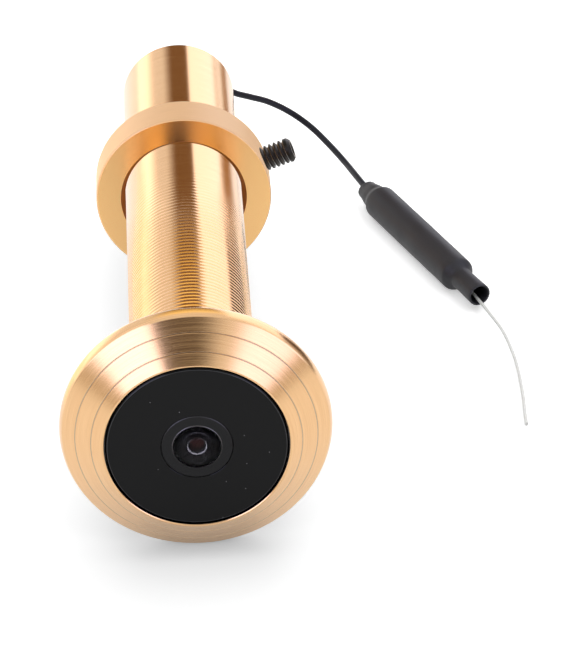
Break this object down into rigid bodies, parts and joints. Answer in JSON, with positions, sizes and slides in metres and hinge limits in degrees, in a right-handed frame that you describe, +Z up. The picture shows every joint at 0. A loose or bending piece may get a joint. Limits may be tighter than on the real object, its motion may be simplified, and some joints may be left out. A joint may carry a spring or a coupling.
{
  "type": "door viewer",
  "caption": "Door viewer camera: grooved round head with a wide lens in a black window, through-door barrel, sliding clamp collar with set screw, and a thin lead to a sleeve antenna.",
  "frame": {"origin": "centre of the head's door-side face, on the barrel's axis", "axes": "+Y along the barrel from the head to the rear end, +Z up"},
  "size_m": [0.0532, 0.0941, 0.0294],
  "materials": {
    "gold_head": "gold anodised, finely turned",
    "gold_barrel": "gold anodised, fine thread",
    "gold_collar": "gold anodised, satin",
    "black_window": "polished black acrylic",
    "adhesive": "matte",
    "black_lens_barrel": "black anodised",
    "lens_glass": "coated optical glass",
    "spacer_metal": "plain turned",
    "filter_glass": "coated glass",
    "black_plastic": "moulded, fine matte",
    "chip": "moulded epoxy",
    "circuit_board": "solder mask over glass epoxy",
    "liner_film": "amber film",
    "shield_metal": "tinned steel",
    "antenna_brass": "plain drawn brass",
    "lead_jacket": "smooth extruded jacket",
    "button_plastic": "moulded",
    "grommet_rubber": "matte",
    "black_steel": "black oxide",
    "shrink_tube": "heat-shrunk polyolefin, matte",
    "bare_wire": "silver-plated wire"
  },
  "bodies": {
    "viewer": {"head_bezel": "gold_head", "front_window": "black_window", "window_adhesive_ring": "adhesive", "lens_barrel": "black_lens_barrel", "front_lens": "lens_glass", "lens_spacer_ring": "spacer_metal", "inner_lens": "lens_glass", "lens_retaining_ring": "black_lens_barrel", "lens_holder": "black_plastic", "infrared_filter": "filter_glass", "image_sensor": "chip", "sensor_board": "circuit_board", "barrel": "gold_barrel", "insulating_liner": "liner_film", "main_board": "circuit_board", "flat_cable": "liner_film", "processor": "chip", "memory_chip": "chip", "microphone": "shield_metal", "radio_shield": "shield_metal", "coax_connector": "antenna_brass", "coax_inner_lead": "lead_jacket", "reset_switch": "black_plastic", "power_socket": "shield_metal", "power_contact_tongue": "black_plastic", "rear_cap": "black_plastic", "coax_grommet": "grommet_rubber", "antenna_coax": "lead_jacket", "antenna_shrink_tube": "shrink_tube", "antenna_sleeve": "antenna_brass", "antenna_ferrule": "antenna_brass", "antenna_wire": "bare_wire"},
    "collar": {"clamp_collar": "gold_collar"},
    "screw": {"set_screw": "black_steel"},
    "button": {"reset_button": "button_plastic"}
  },
  "joints": [
    {"name": "collar_slide", "type": "slide", "parent": "viewer", "child": "collar", "axis": [0, 1, 0], "range_m": [-0.05, 0.022]},
    {"name": "screw_travel", "type": "slide", "parent": "collar", "child": "screw", "axis": [0.9455, 0, 0.3256], "range_m": [-0.0011, 0.0015]},
    {"name": "reset_press", "type": "slide", "parent": "viewer", "child": "button", "axis": [0, -1, 0], "range_m": [0, 0.00025], "stiffness_N_per_m": 200}
  ]
}
